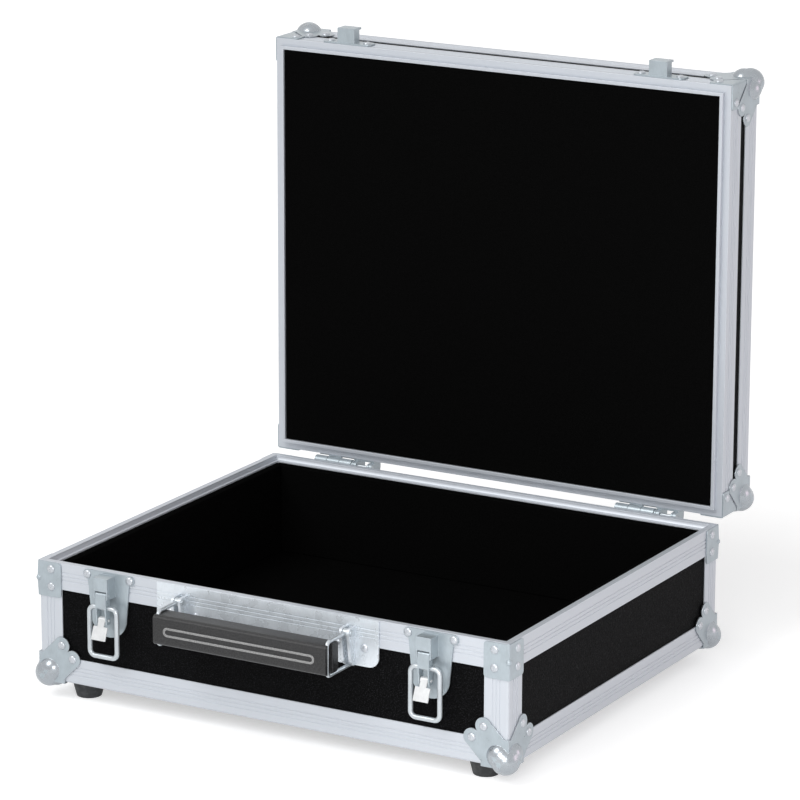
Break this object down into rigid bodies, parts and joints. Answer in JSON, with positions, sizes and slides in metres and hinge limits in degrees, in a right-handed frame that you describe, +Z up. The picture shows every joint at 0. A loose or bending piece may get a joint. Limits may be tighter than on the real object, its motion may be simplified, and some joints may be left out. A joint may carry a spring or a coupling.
{
  "type": "flight case",
  "caption": "Hinged flight case for guitar pedals, lid open, with aluminium edges, ball corners, draw latches and folding handle.",
  "frame": {"origin": "middle of the bounding box at the floor, with the lid open", "axes": "+X to the right along the front, +Y to the back, +Z up"},
  "size_m": [0.454, 0.4838, 0.5091],
  "materials": {
    "laminated_board": "fine matt speckled laminate",
    "extrusions": "anodised satin",
    "plated_steel": "zinc plated, satin",
    "plated_wire": "zinc plated wire, bright",
    "bright_tab": "zinc plated, bright",
    "grip_plastic": "moulded plastic, fine texture",
    "foot_rubber": "matt rubber",
    "lining_foam": "black foam"
  },
  "bodies": {
    "base": {"base_floor_panel": "laminated_board", "base_front_panel": "laminated_board", "base_right_panel": "laminated_board", "base_back_panel": "laminated_board", "base_left_panel": "laminated_board", "base_rim_front": "extrusions", "base_rim_right": "extrusions", "base_rim_back": "extrusions", "base_rim_left": "extrusions", "base_edge_front": "extrusions", "base_edge_right": "extrusions", "base_edge_back": "extrusions", "base_edge_left": "extrusions", "base_corner_posts": "extrusions", "base_ball_corners": "plated_steel", "base_corner_braces": "plated_steel", "base_rivets": "plated_steel", "rubber_feet": "foot_rubber", "foot_screws": "plated_steel", "base_floor_foam": "lining_foam", "base_wall_foam": "lining_foam", "left_hinge_base_leaf": "plated_steel", "right_hinge_base_leaf": "plated_steel", "hinge_pins": "plated_steel", "left_latch_plate": "plated_steel", "right_latch_plate": "plated_steel", "latch_pivot_pins": "plated_steel", "handle_plate": "plated_steel", "handle_pins": "plated_steel"},
    "lid": {"lid_top_panel": "laminated_board", "lid_front_panel": "laminated_board", "lid_right_panel": "laminated_board", "lid_back_panel": "laminated_board", "lid_left_panel": "laminated_board", "lid_rim_front": "extrusions", "lid_rim_right": "extrusions", "lid_rim_back": "extrusions", "lid_rim_left": "extrusions", "lid_edge_front": "extrusions", "lid_edge_right": "extrusions", "lid_edge_back": "extrusions", "lid_edge_left": "extrusions", "lid_corner_posts": "extrusions", "lid_ball_corners": "plated_steel", "lid_corner_braces": "plated_steel", "lid_rivets": "plated_steel", "lid_foam": "lining_foam", "keepers": "plated_steel", "left_hinge_lid_leaf": "plated_steel", "right_hinge_lid_leaf": "plated_steel", "hinge_stop_rivets": "plated_steel"},
    "handle": {"handle_arms": "plated_wire", "handle_grip": "grip_plastic"},
    "left_lever": {"left_latch_lever": "plated_steel"},
    "left_loop": {"left_latch_loop": "plated_wire"},
    "left_catch": {"left_safety_catch": "bright_tab"},
    "right_lever": {"right_latch_lever": "plated_steel"},
    "right_loop": {"right_latch_loop": "plated_wire"},
    "right_catch": {"right_safety_catch": "bright_tab"}
  },
  "joints": [
    {"name": "lid_hinge", "type": "hinge", "parent": "base", "child": "lid", "pos_m": [0, 0.18075, 0.1173], "axis": [1, 0, 0], "range_deg": [0, 90]},
    {"name": "handle_fold", "type": "hinge", "parent": "base", "child": "handle", "pos_m": [0, -0.20585, 0.1076], "axis": [1, 0, 0], "range_deg": [-85, 0]},
    {"name": "left_latch_lever", "type": "hinge", "parent": "base", "child": "left_lever", "pos_m": [-0.151, -0.20785, 0.102], "axis": [1, 0, 0], "range_deg": [-100, 0]},
    {"name": "left_latch_loop", "type": "hinge", "parent": "left_lever", "child": "left_loop", "pos_m": [-0.151, -0.20665, 0.0909], "axis": [-1, 0, 0], "range_deg": [0, 180]},
    {"name": "left_safety_catch", "type": "hinge", "parent": "left_lever", "child": "left_catch", "pos_m": [-0.151, -0.20635, 0.0805], "axis": [1, 0, 0], "range_deg": [-15, 0], "stiffness_Nm_per_rad": 0.01, "springref_deg": 5.73},
    {"name": "right_latch_lever", "type": "hinge", "parent": "base", "child": "right_lever", "pos_m": [0.151, -0.20785, 0.102], "axis": [1, 0, 0], "range_deg": [-100, 0]},
    {"name": "right_latch_loop", "type": "hinge", "parent": "right_lever", "child": "right_loop", "pos_m": [0.151, -0.20665, 0.0909], "axis": [-1, 0, 0], "range_deg": [0, 180]},
    {"name": "right_safety_catch", "type": "hinge", "parent": "right_lever", "child": "right_catch", "pos_m": [0.151, -0.20635, 0.0805], "axis": [1, 0, 0], "range_deg": [-15, 0], "stiffness_Nm_per_rad": 0.01, "springref_deg": 5.73}
  ]
}
